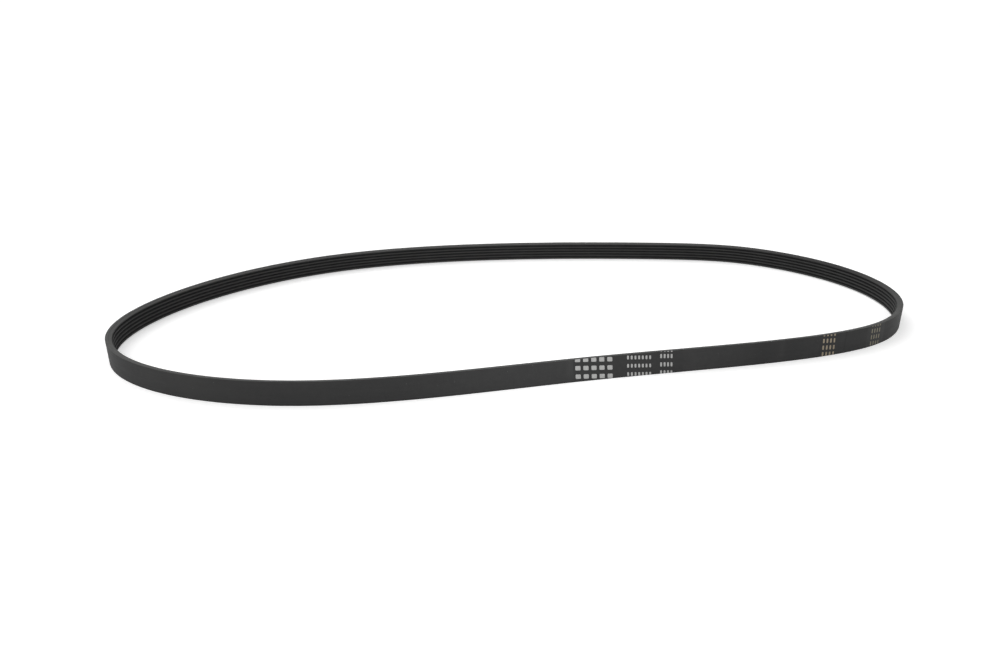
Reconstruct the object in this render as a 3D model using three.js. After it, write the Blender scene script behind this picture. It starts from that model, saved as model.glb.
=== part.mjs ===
// Serpentine belt: an endless ribbed drive belt that lies loose, standing on its cut edge.
// Millimetres, +Z up. The origin is under the middle of the loop, on the surface below it.

import * as THREE from 'three';

// Length, measured round the loop
const effectiveLength = 1270; // along the tension cords, 50 inches
const cordDepth = 1.25; // from the smooth back in to the tension cords

// Section: a smooth backing with V ribs moulded on the inside of the loop
const backingThickness = 1.75;
const ribCount = 6;
const ribPitch = 2.34;
const ribAngle = 40; // degrees between the two flanks of a rib
const tipWidth = 0.7; // across the rib's tip, measured to where the flanks would meet it
const tipRadius = 0.2; // on both corners of the tip
const rootWidth = 0.32; // across the floor of a groove, which is one full round

// Handles of the closed curve that the back follows, in plan
const loopHandles = [
  [270, 50],
  [200, 125],
  [130, 140],
  [-180, 135],
  [-305, -80],
  [-140, -160],
  [30, -100],
  [250, -70],
];

// Fineness of the mesh
const stationCount = 104; // sections round the loop
const curveSamples = 4000; // points at which the curve is measured
const tipSteps = 2; // chords in each corner of a tip
const rootSteps = 2; // chords in the floor of a groove

// Colour and finish of the rubber
const rubberColour = 0x2b2b2c;
const rubberRoughness = 0.75;

// Closed uniform cubic B-spline: it has no kink and no sudden change of curvature.
class LoopCurve extends THREE.Curve {
  constructor(handles) {
    super();
    this.handles = handles.map(([x, y]) => new THREE.Vector2(x, y));
  }

  getPoint(t, target = new THREE.Vector2()) {
    const count = this.handles.length;
    const along = (t - Math.floor(t)) * count;
    const first = Math.floor(along);
    const f = along - first;
    const weights = [
      (1 - f) ** 3,
      3 * f ** 3 - 6 * f ** 2 + 4,
      -3 * f ** 3 + 3 * f ** 2 + 3 * f + 1,
      f ** 3,
    ];
    target.set(0, 0);
    weights.forEach((weight, k) => {
      target.addScaledVector(this.handles[(first + k) % count], weight / 6);
    });
    return target;
  }
}

// A closed run of points on the curve, scaled so that its length round the loop is exact.
function sampleBack(curve, length) {
  const points = Array.from({ length: curveSamples }, (_, i) => curve.getPoint(i / curveSamples));
  const measured = points.reduce((sum, p, i) => sum + p.distanceTo(points[(i + 1) % curveSamples]), 0);
  return points.map((p) => p.multiplyScalar(length / measured));
}

// The points where the sections stand. Half of them are shared out by length and half by
// how much the loop turns, so that bends get short steps and straight runs long ones.
function placeStations(points) {
  const count = points.length;
  const edges = points.map((p, i) => points[(i + 1) % count].clone().sub(p));
  const lengths = edges.map((edge) => edge.length());
  const turns = edges.map((edge, i) => {
    const next = edges[(i + 1) % count];
    return Math.abs(Math.atan2(edge.cross(next), edge.dot(next)));
  });
  const total = (values) => values.reduce((sum, value) => sum + value, 0);
  const allLength = total(lengths);
  const allTurn = total(turns);
  const share = edges.map((_, i) => (lengths[i] / allLength + turns[i] / allTurn) / 2);

  const stations = [];
  let passed = 0;
  share.forEach((part, i) => {
    while (stations.length < stationCount && stations.length / stationCount < passed + part) {
      const within = (stations.length / stationCount - passed) / part;
      stations.push(points[i].clone().addScaledVector(edges[i], within));
    }
    passed += part;
  });
  return stations;
}

// Points of an arc round a centre, from one angle to another, both ends included.
function arcPoints(centreDepth, centreZ, radius, from, to, steps) {
  return Array.from({ length: steps + 1 }, (_, i) => {
    const angle = from + ((to - from) * i) / steps;
    return [centreDepth + radius * Math.cos(angle), centreZ + radius * Math.sin(angle)];
  });
}

// Section of the belt as [depth, z] pairs: depth runs in from the back, and z up the width.
// Both cut edges pass through the middle of a groove.
function beltSection() {
  const lean = THREE.MathUtils.degToRad(ribAngle / 2);
  const turn = Math.PI / 2 - lean;
  const ribHeight = (ribPitch - tipWidth - rootWidth) / 2 / Math.tan(lean);
  const tipDepth = backingThickness + ribHeight;
  const tipSetback = tipRadius * Math.tan(turn / 2);
  const rootRadius = rootWidth / 2 / Math.tan(turn / 2);
  const rootCentre = backingThickness + rootRadius;

  const outline = [[0, 0]];
  for (let rib = 0; rib < ribCount; rib += 1) {
    const low = rib * ribPitch;
    const high = low + ribPitch;
    const tipLow = low + (ribPitch - tipWidth) / 2 + tipSetback;
    const tipHigh = high - (ribPitch - tipWidth) / 2 - tipSetback;
    const tipCentre = tipDepth - tipRadius;
    const halfRoot = rootSteps / 2;
    outline.push(
      ...arcPoints(rootCentre, low, rootRadius, Math.PI, Math.PI - turn, halfRoot),
      ...arcPoints(tipCentre, tipLow, tipRadius, -turn, 0, tipSteps),
      ...arcPoints(tipCentre, tipHigh, tipRadius, 0, turn, tipSteps),
    );
    const rise = arcPoints(rootCentre, high, rootRadius, Math.PI + turn, Math.PI, halfRoot);
    outline.push(...(rib < ribCount - 1 ? rise.slice(0, -1) : rise));
  }
  outline.push([0, ribCount * ribPitch]);
  return outline;
}

// The section swept round the stations and joined end to end. Each section is mitred to
// the two runs that meet there, so the belt keeps its true section between them.
function sweepRound(stations, section) {
  const positions = [];
  stations.forEach((station, i) => {
    const before = stations[(i + stationCount - 1) % stationCount];
    const after = stations[(i + 1) % stationCount];
    const arriving = station.clone().sub(before).normalize();
    const leaving = after.clone().sub(station).normalize();
    const along = arriving.clone().add(leaving).normalize();
    const mitre = 1 / along.dot(leaving);
    section.forEach(([depth, z]) => {
      positions.push(station.x - along.y * depth * mitre, station.y + along.x * depth * mitre, z);
    });
  });

  const size = section.length;
  const faces = [];
  for (let i = 0; i < stationCount; i += 1) {
    const here = i * size;
    const there = ((i + 1) % stationCount) * size;
    for (let j = 0; j < size; j += 1) {
      const k = (j + 1) % size;
      faces.push(here + j, there + k, there + j, here + j, here + k, there + k);
    }
  }

  const geometry = new THREE.BufferGeometry();
  geometry.setAttribute('position', new THREE.Float32BufferAttribute(positions, 3));
  geometry.setIndex(faces);
  geometry.computeVertexNormals();
  return geometry;
}

// The loop moved so that the origin is under the middle of its box.
function centreLoop(geometry) {
  geometry.computeBoundingBox();
  const middle = geometry.boundingBox.getCenter(new THREE.Vector3());
  return geometry.translate(-middle.x, -middle.y, 0);
}

function makeBelt() {
  const backLength = effectiveLength + 2 * Math.PI * cordDepth;
  const back = sampleBack(new LoopCurve(loopHandles), backLength);
  const rubber = new THREE.MeshStandardMaterial({
    color: rubberColour,
    roughness: rubberRoughness,
    metalness: 0,
  });
  const belt = new THREE.Mesh(centreLoop(sweepRound(placeStations(back), beltSection())), rubber);
  belt.name = 'ribbed_belt';
  return belt;
}

const serpentineBelt = new THREE.Group();
serpentineBelt.add(makeBelt());

export default serpentineBelt;
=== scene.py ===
import math
import random

import bpy
import numpy as np
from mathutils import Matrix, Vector


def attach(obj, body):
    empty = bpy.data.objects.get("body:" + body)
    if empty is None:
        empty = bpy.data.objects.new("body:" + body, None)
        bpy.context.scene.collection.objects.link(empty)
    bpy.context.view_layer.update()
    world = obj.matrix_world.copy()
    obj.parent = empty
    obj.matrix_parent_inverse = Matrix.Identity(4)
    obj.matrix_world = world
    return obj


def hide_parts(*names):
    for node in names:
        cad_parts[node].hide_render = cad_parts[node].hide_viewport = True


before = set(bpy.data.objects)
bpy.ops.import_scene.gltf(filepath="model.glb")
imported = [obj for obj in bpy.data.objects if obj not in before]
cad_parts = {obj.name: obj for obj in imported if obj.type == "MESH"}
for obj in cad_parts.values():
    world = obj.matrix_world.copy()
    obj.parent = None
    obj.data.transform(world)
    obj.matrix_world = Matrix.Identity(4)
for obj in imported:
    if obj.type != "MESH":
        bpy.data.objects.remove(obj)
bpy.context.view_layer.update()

# A serpentine belt that lies loose on a white table, standing on its cut edge.
# Everything is in metres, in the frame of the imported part. Colours are linear.

# Belt sizes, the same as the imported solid's
EFFECTIVE_LENGTH = 1.270
CORD_DEPTH = 0.00125
BACKING = 0.00175
RIB_COUNT = 6
RIB_PITCH = 0.00234
RIB_LEAN = math.radians(20)
TIP_WIDTH = 0.0007
TIP_RADIUS = 0.0002
ROOT_WIDTH = 0.00032
WIDTH = RIB_COUNT * RIB_PITCH
BACK_LENGTH = EFFECTIVE_LENGTH + 2 * math.pi * CORD_DEPTH

# From the middle of a groove to the line where a flank would meet the tip
FLANK_HEIGHT = (RIB_PITCH - TIP_WIDTH) / 2

# Handles of the closed curve that the belt's back follows, before it is scaled to length
LOOP_HANDLES = [
    (0.270, 0.050),
    (0.200, 0.125),
    (0.130, 0.140),
    (-0.180, 0.135),
    (-0.305, -0.080),
    (-0.140, -0.160),
    (0.030, -0.100),
    (0.250, -0.070),
]

# Half the length of curve over which its direction is measured
SLOPE_REACH = 0.0005

# Fine mesh of the belt
STATIONS = 620
CURVE_SAMPLES = 16000
CORNER_RADIUS = 0.00012
CORNER_STEPS = 3
BACK_STRIPS = 12
EDGE_STRIPS = 3
TIP_STEPS = 4
ROOT_STEPS = 3
FLANK_STRIPS = 2
TIP_STRIPS = 2

# How far the real rubber strays from a perfect sweep, how far in from a cut edge that
# edge's wave reaches, and how fast a tip's wave dies away down the flanks
EDGE_WAVE = 0.000015
TIP_WAVE = 0.00001
BACK_WAVE = 0.00002
EDGE_REACH = 0.0008
TIP_FALLOFF = 3

# Slowest and fastest wave round the loop, how many are added up, and the seeds of them all
EDGE_WAVE_RANGE = (12, 120, 9)
TIP_WAVE_RANGE = (20, 120, 8)
BACK_WAVE_RANGE = (9, 60, 6)
WAVE_SEED = 11
BACK_SEED = 12

# Which part of the surface a face belongs to, and so its material
ON_BACK, ON_EDGE, ON_RIBS = range(3)

# Print on the back: how far the transfer film and the ink stand proud of the rubber, how
# far both reach into it, and the spacing, least number and corners of the columns of vertices
# that they are made of
FILM_PROUD = 0.000008
INK_PROUD = 0.00002
PRINT_SUNK = 0.00001
PRINT_STEP = 0.0004
LEAST_COLUMNS = 7
COLUMN_CORNERS = 4

# The whole print is turned a little on the belt, in radians: rows fall, and start later below
PRINT_TURN = 0.08

# Radius of a mark's corners
MARK_ROUND = 0.0003

# Films that carried the print, as lengths along the back from where its curve starts
SILVER_FILM = (0.8739, 0.9391)
CREAM_FILM = (1.0271, 1.0431)
FAR_FILM = (1.0646, 1.0818)

# Groups of marks: where each starts, how many marks a row has, their width, the gap between
# them, their height, and where each row's middle starts above the lower cut edge
BOLD_MARKS = dict(
    start=0.8751, count=5, width=0.0030, gap=0.0017, height=0.0027,
    rows=(0.0034, 0.0086, 0.0137),
)
SMALL_MARKS = dict(
    start=0.9056, count=7, width=0.0011, gap=0.0011, height=0.0023,
    rows=(0.0018, 0.0070, 0.0121),
)
UPRIGHT_MARKS = dict(
    start=0.9254, count=4, width=0.0011, gap=0.0010, height=0.0026,
    rows=(0.0009, 0.0060, 0.0112, 0.0151),
)
CREAM_MARKS = dict(
    start=1.0299, count=4, width=0.0012, gap=0.0014, height=0.0028,
    rows=(0.0016, 0.0059, 0.0103, 0.0147),
)
FAR_MARKS = dict(
    start=1.0688, count=4, width=0.0010, gap=0.0015, height=0.0028,
    rows=(0.0022, 0.0064, 0.0106, 0.0148),
)

# Smooth back: its mottle, its clouds and grain, and the dust on it
BACK_DARK = (0.0182, 0.0182, 0.0185)
BACK_PALE = (0.0224, 0.0224, 0.0224)
BACK_CLOUD = (0.0154, 0.0154, 0.0156)
BACK_GRAIN = (0.0350, 0.0350, 0.0346)
DUST = (0.105, 0.105, 0.102)

# Smudges on the back, and soft spots of painted light along the near run, as length along
# it, height, radius, squeeze, strength and colour. A squeeze below 1 draws the spot out across the
# belt.
DARK_SMUDGE_AND_SHADE = (0.0119, 0.0119, 0.0121)
PALE_SMUDGE_AND_SHEEN = (0.0364, 0.0364, 0.0357)
SMUDGES_AND_PAINTED_LIGHT = [
    (0.989, 0.006, 0.014, 0.5, 0.55, DARK_SMUDGE_AND_SHADE),
    (1.009, 0.007, 0.013, 0.5, 0.40, DARK_SMUDGE_AND_SHADE),
    (1.001, 0.007, 0.003, 0.1, 0.20, PALE_SMUDGE_AND_SHEEN),
    (1.0462, 0.007, 0.0008, 0.02, 0.55, DARK_SMUDGE_AND_SHADE),
    (0.8715, 0.010, 0.004, 0.4, 0.45, PALE_SMUDGE_AND_SHEEN),
    (0.936, 0.007, 0.006, 0.5, 0.40, DARK_SMUDGE_AND_SHADE),
    (1.0865, 0.005, 0.006, 0.4, 0.35, DARK_SMUDGE_AND_SHADE),
    # Painted light along the near run: the two pale spots are painted sheen, the dark one painted
    # shade.
    (0.640, 0.009, 0.010, 0.6, 0.25, PALE_SMUDGE_AND_SHEEN),
    (0.665, 0.008, 0.040, 0.4, 0.52, PALE_SMUDGE_AND_SHEEN),
    (0.772, 0.007, 0.060, 0.4, 0.28, DARK_SMUDGE_AND_SHADE),
]

# Cut edges: the backing's mottle, the rubber from the cords inwards, scores and pits, and
# the depths from the back between which the paler rubber sets in. They are paler than the
# back partly as cut rubber and partly as painted light from above on the upper cut edge
EDGE_DARK = (0.056, 0.056, 0.0554)
EDGE_PALE = (0.075, 0.075, 0.0737)
EDGE_INNER = (0.083, 0.083, 0.0815)
EDGE_SCORE = (0.119, 0.119, 0.1165)
EDGE_PIT = (0.031, 0.031, 0.031)
EDGE_INNER_DEPTHS = (0.0009, 0.0014)

# Painted shade: darker stretches of the cut edges, in the same terms as the spots on the back
PAINTED_EDGE_SHADE = (0.030, 0.030, 0.030)
EDGE_PAINTED_SHADE = [
    (1.215, WIDTH, 0.110, 0.1, 0.95, PAINTED_EDGE_SHADE),
    (0.520, WIDTH, 0.040, 0.1, 0.10, PAINTED_EDGE_SHADE),
]

# Ground ribs: their mottle, streaks, tips and fibre ends, and the depths between which the
# tips set in. The tips are paler partly as ground rubber and partly as painted light, which
# makes the ridges lighter than the grooves
RIB_DARK = (0.0214, 0.0214, 0.0217)
RIB_PALE = (0.0294, 0.0294, 0.0294)
RIB_STREAK = (0.0560, 0.0560, 0.0552)
RIB_TIP_AND_PAINTED_LIGHT = (0.062, 0.062, 0.061)
RIB_FIBRE = (0.103, 0.103, 0.099)
RIB_TIP_DEPTHS = (0.0029, 0.0034)

# Films, as the dark and the pale colour of their mottle
EVEN_FILM = ((0.0157, 0.0157, 0.0160), (0.0187, 0.0187, 0.0187))
PALE_FILM = ((0.0190, 0.0190, 0.0191), (0.0223, 0.0223, 0.0222))

# Inks: their colour where they are full, thin and worn, and the value of a noise below which
# they are worn
SILVER_INK = dict(
    full=(0.335, 0.335, 0.33), thin=(0.262, 0.262, 0.257), worn=(0.17, 0.17, 0.167), wear=0.32,
)
CREAM_INK = dict(
    full=(0.285, 0.236, 0.168), thin=(0.218, 0.180, 0.128), worn=(0.13, 0.107, 0.076), wear=0.33,
)
FAINT_INK = dict(
    full=(0.205, 0.184, 0.130), thin=(0.152, 0.136, 0.096), worn=(0.09, 0.08, 0.057), wear=0.36,
)

# How far above that value the wear ends
WEAR_BLUR = 0.08

# Most of a noise's values lie between these two
NOISE_LOW = 0.3
NOISE_HIGH = 0.7

# Places of the colour sockets on a Mix node
MIX_FIRST = 6
MIX_SECOND = 7
MIX_RESULT = 2

# Camera, as a fit of the belt's outlines to the photograph places it, with its lens and
# sensor in millimetres
CAMERA_AIM = Vector((-0.0175, -0.0351, 0.0))
CAMERA_HEIGHT = 0.1849
CAMERA_ELEVATION = math.radians(22.04)
CAMERA_LENS = 27.48
CAMERA_SENSOR = 36.0
CAMERA_NEAREST = 0.01

# White table, which lies a hair below the belt
FLOOR_SIZE = 60.0
FLOOR_DROP = 0.00003
FLOOR_ALBEDO = 0.92

# What the table gives off to the eye, how bright the eye sees the backdrop, and how much
# the backdrop lights the belt
FLOOR_LIFT = 0.395
WORLD_SEEN = 1.03
WORLD_FILL = 0.42

# Lamps
WIDE_LIGHT_SPREAD = math.radians(60)
KEY_LIGHT_PLACE = Vector((-0.54, 0.44, 0.90))
KEY_LIGHT_STRENGTH = 1.3
FILL_LIGHT_PLACE = Vector((-0.2, -0.8, 0.5))
FILL_LIGHT_STRENGTH = 0.36
FRONT_LAMP_PLACE = Vector((0.05, -0.60, 0.28))
FRONT_LAMP_AIM = Vector((0.0, -0.11, 0.0))
FRONT_LAMP_SIZE = 0.2
FRONT_LAMP_POWER = 0.9
SPOT_PLACE = Vector((0.03, -0.85, 0.42))
SPOT_AIM = Vector((0.0160, -0.110, 0.0))
SPOT_CONE = math.radians(17)
SPOT_SIZE = 0.08
SPOT_POWER = 11.5


# The loop that the back follows

class Loop:
    """The closed curve of the belt's back, which is read by length along it."""

    def __init__(self):
        points = self.spline(CURVE_SAMPLES)
        points *= BACK_LENGTH / np.linalg.norm(np.roll(points, -1, 0) - points, axis=1).sum()
        points -= (points.min(0) + points.max(0)) / 2
        closed = np.vstack([points, points[:1]])
        steps = np.linalg.norm(np.diff(closed, axis=0), axis=1)
        self.along = np.concatenate([[0.0], np.cumsum(steps)])
        self.points = closed
        self.length = self.along[-1]

    @staticmethod
    def spline(samples):
        """Points of a closed uniform cubic B-spline."""
        handles = np.array(LOOP_HANDLES)
        count = len(handles)
        t = np.arange(samples) * count / samples
        first = np.floor(t).astype(int)
        f = t - first
        weights = (
            (1 - f) ** 3,
            3 * f ** 3 - 6 * f ** 2 + 4,
            -3 * f ** 3 + 3 * f ** 2 + 3 * f + 1,
            f ** 3,
        )
        return sum(
            handles[(first + k) % count] * weight[:, None] / 6
            for k, weight in enumerate(weights)
        )

    def at(self, s):
        """Points on the back at lengths s."""
        s = np.mod(s, self.length)
        return np.stack([np.interp(s, self.along, self.points[:, i]) for i in (0, 1)], -1)

    def inward(self, s):
        """Unit vectors that point from the back into the loop."""
        way = self.at(s + SLOPE_REACH) - self.at(s - SLOPE_REACH)
        way /= np.linalg.norm(way, axis=-1, keepdims=True)
        return np.stack([-way[..., 1], way[..., 0]], -1)

    def place(self, s, depth, z):
        """Points in space at a length along the back, a depth in from it and a height."""
        s, depth, z = np.broadcast_arrays(s, depth, z)
        flat = self.at(s) + self.inward(s) * depth[..., None]
        return np.concatenate([flat, z[..., None]], -1)


loop = Loop()


# The fine section

def arc(centre_depth, centre_z, radius, start, end, steps):
    """Points of an arc, both ends included, as (depth, z) pairs."""
    angles = np.linspace(start, end, steps + 1)
    return [(centre_depth + radius * math.cos(a), centre_z + radius * math.sin(a)) for a in angles]


def between(start, end, strips):
    """The points that cut a straight into strips, without its two ends."""
    (a, b), (c, d) = start, end
    return [(a + (c - a) * k / strips, b + (d - b) * k / strips) for k in range(1, strips)]


def rib_outline(rib):
    """One rib, from the middle of the groove above it down into the groove below it."""
    turn = math.pi / 2 - RIB_LEAN
    rib_height = (FLANK_HEIGHT - ROOT_WIDTH / 2) / math.tan(RIB_LEAN)
    low = rib * RIB_PITCH
    high = low + RIB_PITCH
    setback = TIP_RADIUS * math.tan(turn / 2)
    tip_low = low + FLANK_HEIGHT + setback
    tip_high = high - FLANK_HEIGHT - setback
    tip_centre = BACKING + rib_height - TIP_RADIUS
    root_radius = ROOT_WIDTH / 2 / math.tan(turn / 2)
    root_centre = BACKING + root_radius

    upper_root = arc(root_centre, high, root_radius, math.pi, math.pi + turn, ROOT_STEPS)
    upper_tip = arc(tip_centre, tip_high, TIP_RADIUS, turn, 0, TIP_STEPS)
    lower_tip = arc(tip_centre, tip_low, TIP_RADIUS, 0, -turn, TIP_STEPS)
    lower_root = arc(root_centre, low, root_radius, math.pi - turn, math.pi, ROOT_STEPS)
    return [
        *upper_root,
        *between(upper_root[-1], upper_tip[0], FLANK_STRIPS),
        *upper_tip,
        *between(upper_tip[-1], lower_tip[0], TIP_STRIPS),
        *lower_tip,
        *between(lower_tip[-1], lower_root[0], FLANK_STRIPS),
        *lower_root[:-1],
    ]


def belt_section():
    """The whole section as (depth, z) pairs, and the part of the surface each step is on.

    The outermost flanks take the cut edges' paler colour as painted light, for the light from above on
    the top flank; the lowest flank takes it too."""
    r = CORNER_RADIUS
    outline = []
    where = []

    def add(points, part):
        outline.extend(points)
        where.extend([part] * len(points))

    top_corner = arc(r, WIDTH - r, r, math.pi, math.pi / 2, CORNER_STEPS)
    low_corner = arc(r, r, r, 3 * math.pi / 2, math.pi, CORNER_STEPS)
    add([(0, r)] + between((0, r), (0, WIDTH - r), BACK_STRIPS), ON_BACK)
    add(top_corner, ON_EDGE)
    add(between(top_corner[-1], (BACKING, WIDTH), EDGE_STRIPS), ON_EDGE)
    for rib in reversed(range(RIB_COUNT)):
        for depth, z in rib_outline(rib):
            # Painted light: both outermost flanks get the cut edges' paler colour, for the light from
            # above on the top one.
            painted_pale_flank = z > WIDTH - FLANK_HEIGHT or z < FLANK_HEIGHT
            add([(depth, z)], ON_EDGE if painted_pale_flank else ON_RIBS)
    add([(BACKING, 0)] + between((BACKING, 0), low_corner[0], EDGE_STRIPS), ON_EDGE)
    add(low_corner[:-1], ON_EDGE)
    return np.array(outline), where


# Small waves in the rubber, which close on themselves round the loop

def waves(turns, rng, slowest, fastest, count):
    """A sum of waves round the loop, mostly between -1 and 1."""
    total = np.zeros_like(turns)
    for _ in range(count):
        total += np.cos(rng.randint(slowest, fastest) * turns + rng.uniform(0, 2 * math.pi))
    return total / math.sqrt(count)


def back_depth(s):
    """How far in the waving back lies at lengths s, which the print on it follows."""
    rng = random.Random(BACK_SEED)
    return BACK_WAVE * waves(2 * math.pi * np.asarray(s) / loop.length, rng, *BACK_WAVE_RANGE)


# Meshes

def new_mesh_object(name, vertices, faces):
    """A smooth mesh object in the scene."""
    mesh = bpy.data.meshes.new(name)
    mesh.from_pydata([tuple(v) for v in vertices], [], faces)
    mesh.update()
    mesh.shade_smooth()
    piece = bpy.data.objects.new(name, mesh)
    bpy.context.scene.collection.objects.link(piece)
    return piece


def make_belt(materials):
    """The ribbed loop as one fine closed mesh."""
    section, where = belt_section()
    depth, z = section[:, 0], section[:, 1]
    turns = np.arange(STATIONS) * 2 * math.pi / STATIONS
    s = turns / (2 * math.pi) * loop.length
    rng = random.Random(WAVE_SEED)

    rib_depth = depth.max() - BACKING
    near_tip = np.clip((depth - BACKING) / rib_depth, 0, 1) ** TIP_FALLOFF
    near_top = np.clip((z - WIDTH + EDGE_REACH) / EDGE_REACH, 0, 1)
    near_foot = np.clip((EDGE_REACH - z) / EDGE_REACH, 0, 1)
    on_back = np.clip(1 - depth / CORNER_RADIUS, 0, 1)

    # The foot's wave only lifts it, so the belt doesn't sink into the table.
    depth_all = depth[None, :] + on_back * back_depth(s)[:, None]
    for rib in range(RIB_COUNT):
        mine = near_tip * (np.abs(z - (rib + 0.5) * RIB_PITCH) < RIB_PITCH / 2)
        depth_all = depth_all + mine * TIP_WAVE * waves(turns, rng, *TIP_WAVE_RANGE)[:, None]
    z_all = z[None, :] + near_top * EDGE_WAVE * waves(turns, rng, *EDGE_WAVE_RANGE)[:, None]
    z_all = z_all + near_foot * EDGE_WAVE * np.abs(waves(turns, rng, *EDGE_WAVE_RANGE))[:, None]

    vertices = loop.place(s[:, None], depth_all, z_all).reshape(-1, 3)
    size = len(section)
    faces = []
    for i in range(STATIONS):
        here = i * size
        there = ((i + 1) % STATIONS) * size
        for j in range(size):
            k = (j + 1) % size
            faces.append((here + j, there + j, there + k, here + k))

    belt = new_mesh_object("belt_rubber", vertices, faces)
    for material in materials:
        belt.data.materials.append(material)
    belt.data.polygons.foreach_set("material_index", np.tile(where, STATIONS).astype(np.int32))
    write_coordinates(belt.data, turns, section)
    return belt


def write_coordinates(mesh, turns, section):
    """Stores each corner's place, as x and y on a circle for how far round the loop it is and
    z for how far round the section, and by itself its depth from the back.

    Textures read it, so that their streaks follow the belt and close on themselves."""
    size = len(section)
    across = np.concatenate([[0.0], np.cumsum(np.linalg.norm(np.diff(section, axis=0), axis=1))])
    across = np.append(across, across[-1] + np.linalg.norm(section[0] - section[-1]))
    radius = loop.length / (2 * math.pi)
    i = np.repeat(np.arange(STATIONS), size)
    j = np.tile(np.arange(size), STATIONS)
    step = turns[1]
    corners = []
    for ahead, over in ((0, 0), (1, 0), (1, 1), (0, 1)):
        angle = turns[i] + step * ahead
        corners.append(np.stack([radius * np.cos(angle), radius * np.sin(angle), across[j + over]], -1))
    values = np.stack(corners, 1).reshape(-1, 3).astype(np.float32)
    attribute = mesh.attributes.new("belt_place", "FLOAT_VECTOR", "CORNER")
    attribute.data.foreach_set("vector", values.ravel())
    depth = np.append(section[:, 0], section[0, 0])
    depths = np.stack([depth[j], depth[j], depth[j + 1], depth[j + 1]], 1).astype(np.float32)
    attribute = mesh.attributes.new("belt_depth", "FLOAT", "CORNER")
    attribute.data.foreach_set("value", depths.ravel())


# Print on the back, as simple marks in the places and colours of the real print

def bar(start, end, low, high, round_off=0.0):
    """Columns of a bar as (s, lowest z, highest z), with its corners rounded off."""
    count = max(LEAST_COLUMNS, round((end - start) / PRINT_STEP) + 1)
    columns = []
    for s in np.linspace(start, end, count):
        rim = min(s - start, end - s)
        cut = 0.0
        if rim < round_off:
            cut = round_off - math.sqrt(round_off ** 2 - (round_off - rim) ** 2)
        columns.append((s, low + cut, high - cut))
    return columns


def marks(start, count, width, gap, height, rows):
    """The bars of one group of marks: the same row over and over, up the belt's width."""
    bars = []
    for row in rows:
        for n in range(count):
            s = start + n * (width + gap)
            columns = bar(s, s + width, row - height / 2, row + height / 2, MARK_ROUND)
            falls = [PRINT_TURN * (along - start) for along, _, _ in columns]
            bars.append([(a, low - fall, high - fall) for (a, low, high), fall in zip(columns, falls)])
    return bars


def print_solid(name, shapes, proud, material):
    """Thin closed solids that follow the belt's back, clipped by its two cut edges."""
    vertices = []
    faces = []
    inset = CORNER_RADIUS
    for columns in shapes:
        kept = [
            (s, max(low, inset), min(high, WIDTH - inset))
            for s, low, high in columns
            if min(high, WIDTH - inset) - max(low, inset) > PRINT_SUNK
        ]
        base = len(vertices)
        for s, low, high in kept:
            for z in (low, high):
                along = s - PRINT_TURN * z
                for depth in (-proud, PRINT_SUNK):
                    vertices.append(loop.place(along, back_depth(along) + depth, z))
        last = len(vertices) - COLUMN_CORNERS
        for a in range(base, last, COLUMN_CORNERS):
            b = a + COLUMN_CORNERS
            faces += [
                (a, b, b + 2, a + 2),
                (a + 1, a + 3, b + 3, b + 1),
                (a, a + 1, b + 1, b),
                (a + 2, b + 2, b + 3, a + 3),
            ]
        faces += [(base, base + 2, base + 3, base + 1), (last, last + 1, last + 3, last + 2)]
    piece = new_mesh_object(name, vertices, faces)
    piece.data.shade_flat()
    piece.data.materials.append(material)
    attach(piece, "root")


# Materials

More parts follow.
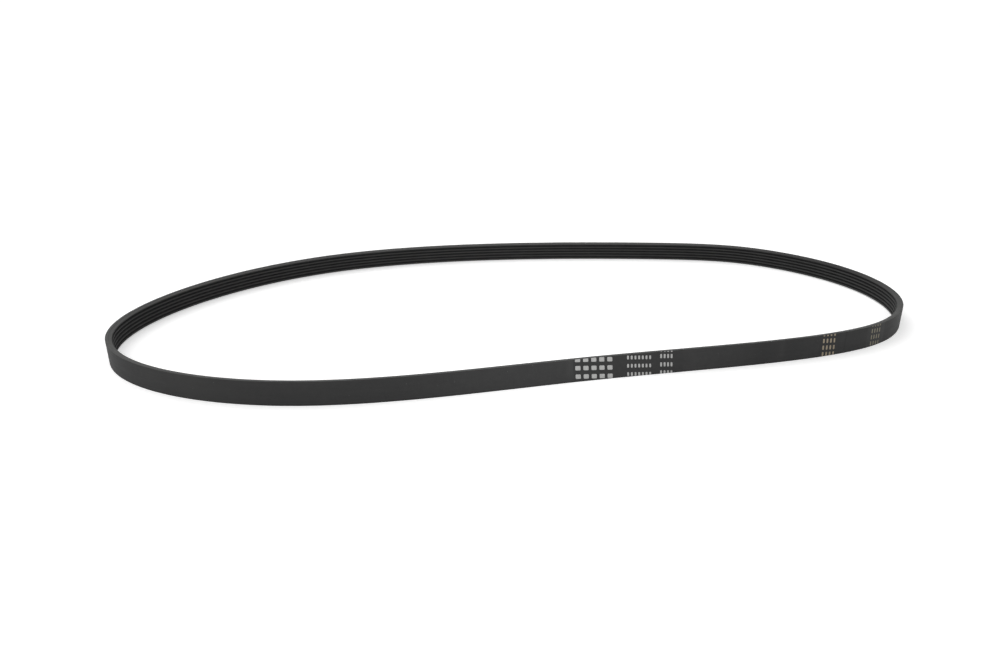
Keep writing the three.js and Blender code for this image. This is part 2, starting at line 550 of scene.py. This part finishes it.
class Graph:
    """A material's nodes, with short names for the ones used here."""

    def __init__(self, name):
        self.material = bpy.data.materials.new(name)
        self.material.use_nodes = True
        self.tree = self.material.node_tree
        self.shader = self.tree.nodes["Principled BSDF"]

    def node(self, kind, **settings):
        made = self.tree.nodes.new(kind)
        for key, value in settings.items():
            setattr(made, key, value)
        return made

    def link(self, source, target):
        self.tree.links.new(source, target)

    def belt_place(self, along=1.0, across=1.0):
        """The belt's own coordinates, shrunk along it or across it, which draws textures out."""
        attribute = self.node("ShaderNodeAttribute", attribute_name="belt_place")
        scale = self.node("ShaderNodeVectorMath", operation="MULTIPLY")
        scale.inputs[1].default_value = (along, along, across)
        self.link(attribute.outputs["Vector"], scale.inputs[0])
        return scale.outputs[0]

    def belt_depth(self):
        """How deep a point of the belt lies from its smooth back."""
        return self.node("ShaderNodeAttribute", attribute_name="belt_depth").outputs["Fac"]

    def object_place(self):
        return self.node("ShaderNodeTexCoord").outputs["Object"]

    def noise(self, place, scale, detail=2.0, roughness=0.5):
        made = self.node("ShaderNodeTexNoise")
        made.inputs["Scale"].default_value = scale
        made.inputs["Detail"].default_value = detail
        made.inputs["Roughness"].default_value = roughness
        self.link(place, made.inputs["Vector"])
        return made.outputs["Fac"]

    def spread(self, value, low=NOISE_LOW, high=NOISE_HIGH, to_low=0.0, to_high=1.0):
        """Value taken from the range low to high into another range, and held there."""
        made = self.node("ShaderNodeMapRange", clamp=True)
        made.inputs["From Min"].default_value = low
        made.inputs["From Max"].default_value = high
        made.inputs["To Min"].default_value = to_low
        made.inputs["To Max"].default_value = to_high
        self.link(value, made.inputs["Value"])
        return made.outputs["Result"]

    def blend(self, factor, first, second):
        """A colour between two, each a linear colour or a socket."""
        made = self.node("ShaderNodeMix", data_type="RGBA")
        self.link(factor, made.inputs["Factor"])
        for index, colour in ((MIX_FIRST, first), (MIX_SECOND, second)):
            if isinstance(colour, tuple):
                made.inputs[index].default_value = (*colour, 1.0)
            else:
                self.link(colour, made.inputs[index])
        return made.outputs[MIX_RESULT]

    def soft_spot(self, s, z, radius, squeeze, strength):
        """How much a soft spot at length s and height z covers, squeezed across the belt."""
        turn = 2 * math.pi * s / loop.length
        ring = loop.length / (2 * math.pi)
        away = self.node("ShaderNodeVectorMath", operation="DISTANCE")
        away.inputs[1].default_value = (ring * math.cos(turn), ring * math.sin(turn), z * squeeze)
        self.link(self.belt_place(across=squeeze), away.inputs[0])
        return self.spread(away.outputs["Value"], 0.0, radius, strength, 0.0)

    def with_soft_spots(self, colour, spot_list):
        """A colour with soft spots of other colours over it."""
        for *spot, over in spot_list:
            colour = self.blend(self.soft_spot(*spot), colour, over)
        return colour

    def bump(self, height, distance, strength, after=None):
        made = self.node("ShaderNodeBump")
        made.inputs["Distance"].default_value = distance
        made.inputs["Strength"].default_value = strength
        self.link(height, made.inputs["Height"])
        if after is not None:
            self.link(after, made.inputs["Normal"])
        return made.outputs["Normal"]

    def finish(self, colour, roughness, normal, specular):
        self.link(colour, self.shader.inputs["Base Color"])
        self.link(roughness, self.shader.inputs["Roughness"])
        self.link(normal, self.shader.inputs["Normal"])
        self.shader.inputs["Specular IOR Level"].default_value = specular
        return self.material


def back_rubber():
    """Smooth matt back: soft mottle, fine grain, a few smears, painted sheen and painted shade along
    the near run, and pale specks of dust.
    """
    g = Graph("back_rubber")
    place = g.object_place()
    cloud = g.noise(place, scale=45)
    mottle = g.noise(place, scale=260, detail=3.0, roughness=0.6)
    grain = g.noise(place, scale=2600, detail=3.0, roughness=0.7)
    drawn = g.noise(g.belt_place(along=0.06), scale=900)
    dust = g.spread(g.noise(place, scale=1500, detail=1.0), low=0.79, high=0.83)
    base = g.blend(g.spread(mottle), BACK_DARK, BACK_PALE)
    clouded = g.blend(g.spread(cloud, low=0.35, high=0.65, to_high=0.35), base, BACK_CLOUD)
    grained = g.blend(g.spread(grain, low=0.35, high=0.75, to_high=0.5), clouded, BACK_GRAIN)
    back_colour = g.blend(dust, g.with_soft_spots(grained, SMUDGES_AND_PAINTED_LIGHT), DUST)
    rough = g.spread(drawn, to_low=0.66, to_high=0.71)
    fine = g.bump(grain, distance=0.00002, strength=0.8)
    soft = g.bump(drawn, distance=0.00003, strength=0.12, after=fine)
    return g.finish(back_colour, rough, soft, specular=0.22)


def edge_rubber():
    """Knife-cut edge: pale, partly as cut rubber and partly as painted light from above, open-grained
    and lightly scored, palest from the cords inwards, and with stretches of painted shade.
    """
    g = Graph("cut_edge_rubber")
    place = g.object_place()
    pits = g.noise(place, scale=3200, detail=4.0, roughness=0.7)
    score = g.noise(g.belt_place(along=0.02), scale=5200, detail=3.0, roughness=0.6)
    patch = g.noise(place, scale=150)
    inner = g.spread(g.belt_depth(), *EDGE_INNER_DEPTHS, to_high=0.7)
    layered = g.blend(inner, g.blend(g.spread(patch), EDGE_DARK, EDGE_PALE), EDGE_INNER)
    scored = g.blend(g.spread(score, low=0.45, high=0.75, to_high=0.6), layered, EDGE_SCORE)
    pitted = g.blend(g.spread(pits, low=0.50, high=0.78, to_high=0.7), scored, EDGE_PIT)
    rough = g.spread(pits, to_low=0.66, to_high=0.86)
    fine = g.bump(pits, distance=0.00004, strength=0.8)
    soft = g.bump(score, distance=0.00003, strength=0.6, after=fine)
    return g.finish(g.with_soft_spots(pitted, EDGE_PAINTED_SHADE), rough, soft, specular=0.16)


def rib_rubber():
    """Ground ribs: dark, with tips paler partly as ground rubber and partly as painted light, fine
    lengthwise streaks and short fibre ends.
    """
    g = Graph("rib_rubber")
    place = g.object_place()
    streak = g.noise(g.belt_place(along=0.03), scale=4200, detail=3.0, roughness=0.6)
    grain = g.noise(place, scale=3000, detail=3.0, roughness=0.7)
    mottle = g.noise(place, scale=120)
    fibre = g.spread(g.noise(g.belt_place(along=0.25), scale=2600, detail=1.0), low=0.76, high=0.80)
    # Painted light: the tips are made paler than the grooves, on top of the ground rubber's own
    # paleness.
    tip = g.spread(g.belt_depth(), *RIB_TIP_DEPTHS, to_high=0.5)
    base = g.blend(g.spread(mottle), RIB_DARK, RIB_PALE)
    streaked = g.blend(g.spread(streak, low=0.42, high=0.75, to_high=0.7), base, RIB_STREAK)
    fibrous = g.blend(fibre, g.blend(tip, streaked, RIB_TIP_AND_PAINTED_LIGHT), RIB_FIBRE)
    rough = g.spread(streak, to_low=0.58, to_high=0.74)
    fine = g.bump(grain, distance=0.00002, strength=0.6)
    soft = g.bump(streak, distance=0.00002, strength=0.6, after=fine)
    return g.finish(fibrous, rough, soft, specular=0.09)


def film(name, dark, pale):
    """Clear transfer film that the print came on: the rubber shows through, a little evener."""
    g = Graph(name)
    place = g.object_place()
    mottle = g.noise(place, scale=420, detail=3.0, roughness=0.6)
    grain = g.noise(place, scale=2600, roughness=0.6)
    colour = g.blend(g.spread(mottle), dark, pale)
    rough = g.spread(grain, to_low=0.54, to_high=0.66)
    fine = g.bump(grain, distance=0.00001, strength=0.5)
    return g.finish(colour, rough, fine, specular=0.22)


def ink(name, full, thin, worn, wear):
    """Printed ink: a little cloudy, and worn thin in specks where the rubber shows through."""
    g = Graph(name)
    place = g.object_place()
    specks = g.noise(place, scale=9000, roughness=0.6)
    cloud = g.noise(place, scale=700)
    body = g.blend(g.spread(cloud, low=0.2, high=0.8), thin, full)
    colour = g.blend(g.spread(specks, wear, wear + WEAR_BLUR), worn, body)
    rough = g.spread(specks, to_low=0.70, to_high=0.55)
    fine = g.bump(specks, distance=0.000015, strength=0.6)
    return g.finish(colour, rough, fine, specular=0.40)


# Studio

def white_to_the_eye(tree):
    """A factor that is 1 for what the camera sees, directly or in a gloss or through glass."""
    path = tree.nodes.new("ShaderNodeLightPath")
    reach = path.outputs["Is Camera Ray"]
    for name in ("Is Glossy Ray", "Is Transmission Ray"):
        either = tree.nodes.new("ShaderNodeMath")
        either.operation = "MAXIMUM"
        tree.links.new(reach, either.inputs[0])
        tree.links.new(path.outputs[name], either.inputs[1])
        reach = either.outputs[0]
    return reach


def make_world():
    world = bpy.data.worlds.new("white_studio")
    bpy.context.scene.world = world
    world.use_nodes = True
    tree = world.node_tree
    backdrop = tree.nodes["Background"]
    backdrop.inputs["Color"].default_value = (1.0, 1.0, 1.0, 1.0)
    strength = tree.nodes.new("ShaderNodeMapRange")
    strength.inputs["To Min"].default_value = WORLD_FILL
    strength.inputs["To Max"].default_value = WORLD_SEEN
    tree.links.new(white_to_the_eye(tree), strength.inputs["Value"])
    tree.links.new(strength.outputs["Result"], backdrop.inputs["Strength"])


def make_floor():
    """A white table top, which keeps the belt's shadow."""
    half = FLOOR_SIZE / 2
    z = -FLOOR_DROP
    corners = [(-half, -half, z), (half, -half, z), (half, half, z), (-half, half, z)]
    floor = new_mesh_object("studio_floor", corners, [(0, 1, 2, 3)])

    material = bpy.data.materials.new("studio_white")
    material.use_nodes = True
    tree = material.node_tree
    tree.nodes.remove(tree.nodes["Principled BSDF"])
    matt = tree.nodes.new("ShaderNodeBsdfDiffuse")
    matt.inputs["Color"].default_value = (FLOOR_ALBEDO, FLOOR_ALBEDO, FLOOR_ALBEDO, 1.0)
    lift = tree.nodes.new("ShaderNodeEmission")
    strength = tree.nodes.new("ShaderNodeMath")
    strength.operation = "MULTIPLY"
    strength.inputs[1].default_value = FLOOR_LIFT
    tree.links.new(white_to_the_eye(tree), strength.inputs[0])
    tree.links.new(strength.outputs[0], lift.inputs["Strength"])
    both = tree.nodes.new("ShaderNodeAddShader")
    tree.links.new(matt.outputs[0], both.inputs[0])
    tree.links.new(lift.outputs[0], both.inputs[1])
    tree.links.new(both.outputs[0], tree.nodes["Material Output"].inputs["Surface"])
    floor.data.materials.append(material)


def make_lamp(name, kind, place, aim, strength):
    """A light that points from its place at its aim, and that the camera doesn't see."""
    light = bpy.data.lights.new(name, kind)
    light.energy = strength
    lamp = bpy.data.objects.new(name, light)
    lamp.location = place
    lamp.rotation_euler = (aim - place).to_track_quat("-Z", "Y").to_euler()
    lamp.visible_camera = False
    bpy.context.scene.collection.objects.link(lamp)
    return light


def make_lamps():
    """Wide lights from behind on the left and from the front, and a soft box and a spot in front."""
    for name, place, strength in (
        ("key_light", KEY_LIGHT_PLACE, KEY_LIGHT_STRENGTH),
        ("fill_light", FILL_LIGHT_PLACE, FILL_LIGHT_STRENGTH),
    ):
        make_lamp(name, "SUN", place, Vector(), strength).angle = WIDE_LIGHT_SPREAD
    front = make_lamp("front_lamp", "AREA", FRONT_LAMP_PLACE, FRONT_LAMP_AIM, FRONT_LAMP_POWER)
    front.size = FRONT_LAMP_SIZE
    spot = make_lamp("front_spot", "SPOT", SPOT_PLACE, SPOT_AIM, SPOT_POWER)
    spot.spot_size = SPOT_CONE
    spot.spot_blend = 1.0
    spot.shadow_soft_size = SPOT_SIZE


def make_camera():
    data = bpy.data.cameras.new("camera")
    data.sensor_width = CAMERA_SENSOR
    data.lens = CAMERA_LENS
    data.clip_start = CAMERA_NEAREST
    camera = bpy.data.objects.new("camera", data)
    back_off = CAMERA_HEIGHT / math.tan(CAMERA_ELEVATION)
    camera.location = CAMERA_AIM + Vector((0.0, -back_off, CAMERA_HEIGHT))
    camera.rotation_euler = (math.pi / 2 - CAMERA_ELEVATION, 0.0, 0.0)
    bpy.context.scene.collection.objects.link(camera)
    bpy.context.scene.camera = camera


make_camera()
make_world()
make_floor()
make_lamps()

belt = make_belt([back_rubber(), edge_rubber(), rib_rubber()])
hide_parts("ribbed_belt")
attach(belt, "root")

even_film = film("transfer_film", *EVEN_FILM)
pale_film = film("pale_film", *PALE_FILM)
for name, span, material in (
    ("silver_film", SILVER_FILM, even_film),
    ("cream_film", CREAM_FILM, even_film),
    ("far_film", FAR_FILM, pale_film),
):
    print_solid(name, [bar(*span, 0.0, WIDTH)], FILM_PROUD, material)

silver = ink("silver_ink", **SILVER_INK)
cream = ink("cream_ink", **CREAM_INK)
faint_cream = ink("faint_cream_ink", **FAINT_INK)
for name, group, material, slot in (
    ("bold_marks", BOLD_MARKS, silver, "silver_print"),
    ("small_marks", SMALL_MARKS, silver, "silver_print"),
    ("upright_marks", UPRIGHT_MARKS, silver, "silver_print"),
    ("cream_marks", CREAM_MARKS, cream, "cream_print"),
    ("far_marks", FAR_MARKS, faint_cream, "cream_print"),
):
    print_solid(name, marks(**group), INK_PROUD, material)

bpy.context.scene.view_settings.view_transform = "Standard"
